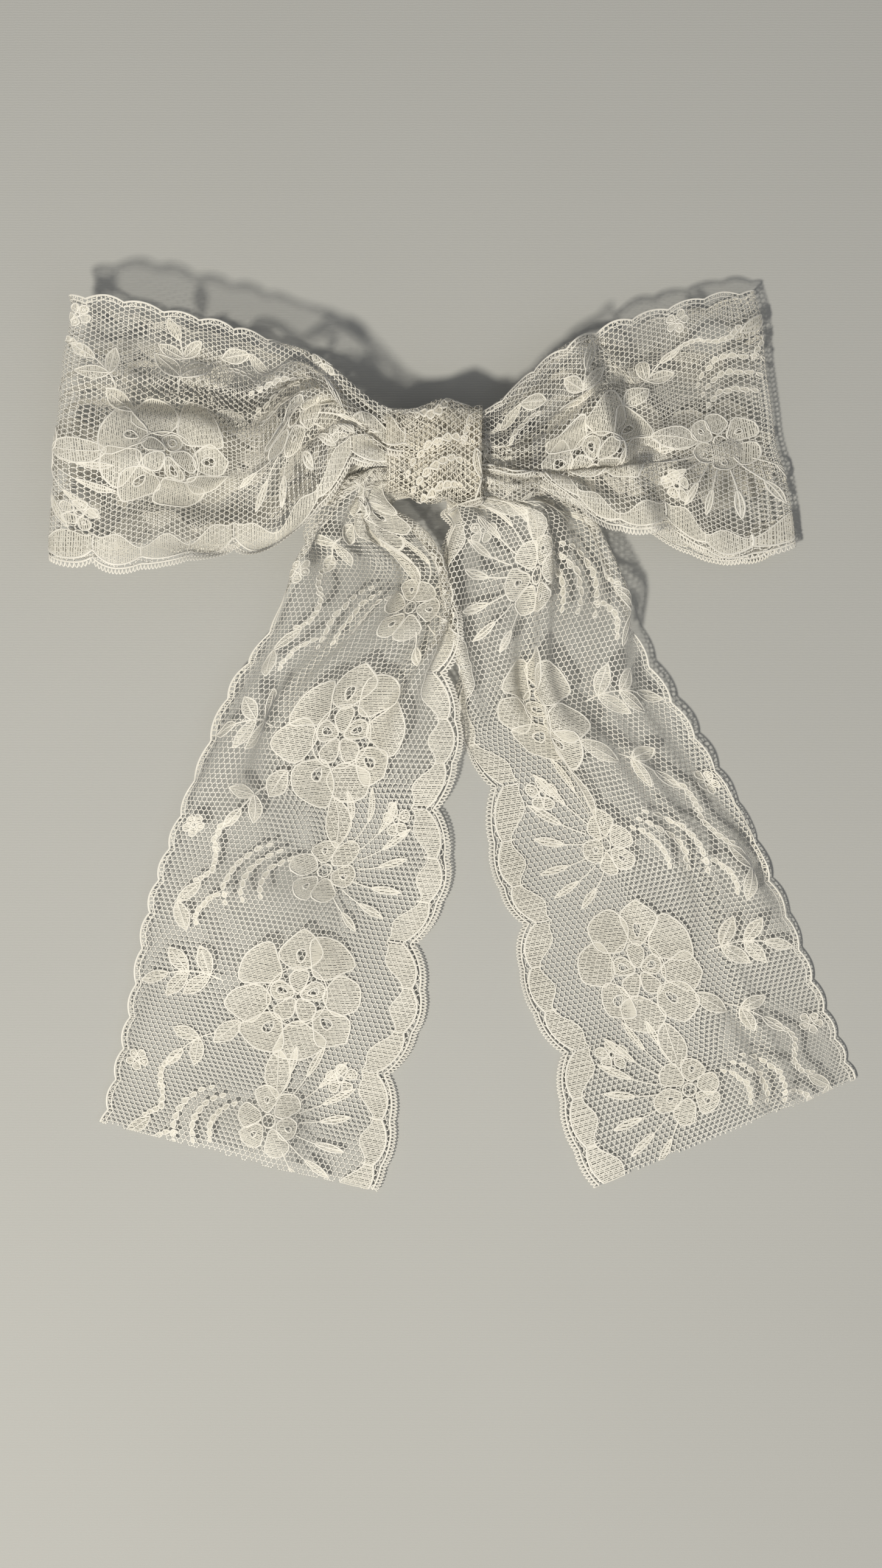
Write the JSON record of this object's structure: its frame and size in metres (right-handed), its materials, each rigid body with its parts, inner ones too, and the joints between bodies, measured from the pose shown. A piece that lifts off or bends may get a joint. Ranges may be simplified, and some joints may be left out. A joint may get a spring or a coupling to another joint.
{
  "type": "lace hair bow",
  "caption": "Ivory lace hair bow with hollow loops, a wrapped knot and long liftable tails, on a hinged French barrette with a latch.",
  "frame": {"origin": "on the flat back of the clasp arm, under the middle of the knot; the bow lies on its back on this plane", "axes": "+Z out of the surface the bow lies on, through the knot; +Y towards the top of the loops, the tails run to -Y; +X to the right"},
  "size_m": [0.2029, 0.2277, 0.0237],
  "materials": {
    "lace": "sheer openwork lace",
    "thread": "sewing thread",
    "plated_steel": "nickel plate",
    "spring_steel": "bright spring steel",
    "pin_steel": "plated wire"
  },
  "bodies": {
    "bow": {"loop_left": "lace", "loop_right": "lace", "loop_waist": "lace", "gather_thread": "thread", "tail_fold": "lace", "knot_wrap": "lace", "wrap_stitches": "thread", "base_plate": "plated_steel", "catch_bracket": "plated_steel", "catch_rivets": "pin_steel", "hinge_pin": "pin_steel"},
    "tails": {"tail_left": "lace", "tail_right": "lace"},
    "clasp_arm": {"clasp_arm": "plated_steel"},
    "tension_bar": {"tension_bar": "spring_steel"},
    "release_tab_front": {"release_tab_front": "plated_steel"},
    "release_tab_back": {"release_tab_back": "plated_steel"}
  },
  "joints": [
    {"name": "tails_lift", "type": "hinge", "parent": "bow", "child": "tails", "pos_m": [0, -0.0364, 0.0063], "axis": [-1, 0, 0], "range_deg": [0, 75]},
    {"name": "clasp_hinge", "type": "hinge", "parent": "bow", "child": "clasp_arm", "pos_m": [-0.028, 0, 0.0015], "axis": [0, 1, 0], "range_deg": [0, 75]},
    {"name": "tension_bar_flex", "type": "hinge", "parent": "bow", "child": "tension_bar", "pos_m": [-0.0258, 0, 0.004], "axis": [0, 1, 0], "range_deg": [-1.5, 0], "stiffness_Nm_per_rad": 0.3},
    {"name": "tab_front_squeeze", "type": "hinge", "parent": "bow", "child": "release_tab_front", "pos_m": [0.02725, -0.0024, 0.0039], "axis": [1, 0, 0], "range_deg": [0, 8], "stiffness_Nm_per_rad": 0.02},
    {"name": "tab_back_squeeze", "type": "hinge", "parent": "bow", "child": "release_tab_back", "pos_m": [0.02725, 0.0024, 0.0039], "axis": [-1, 0, 0], "range_deg": [0, 8], "stiffness_Nm_per_rad": 0.02}
  ]
}
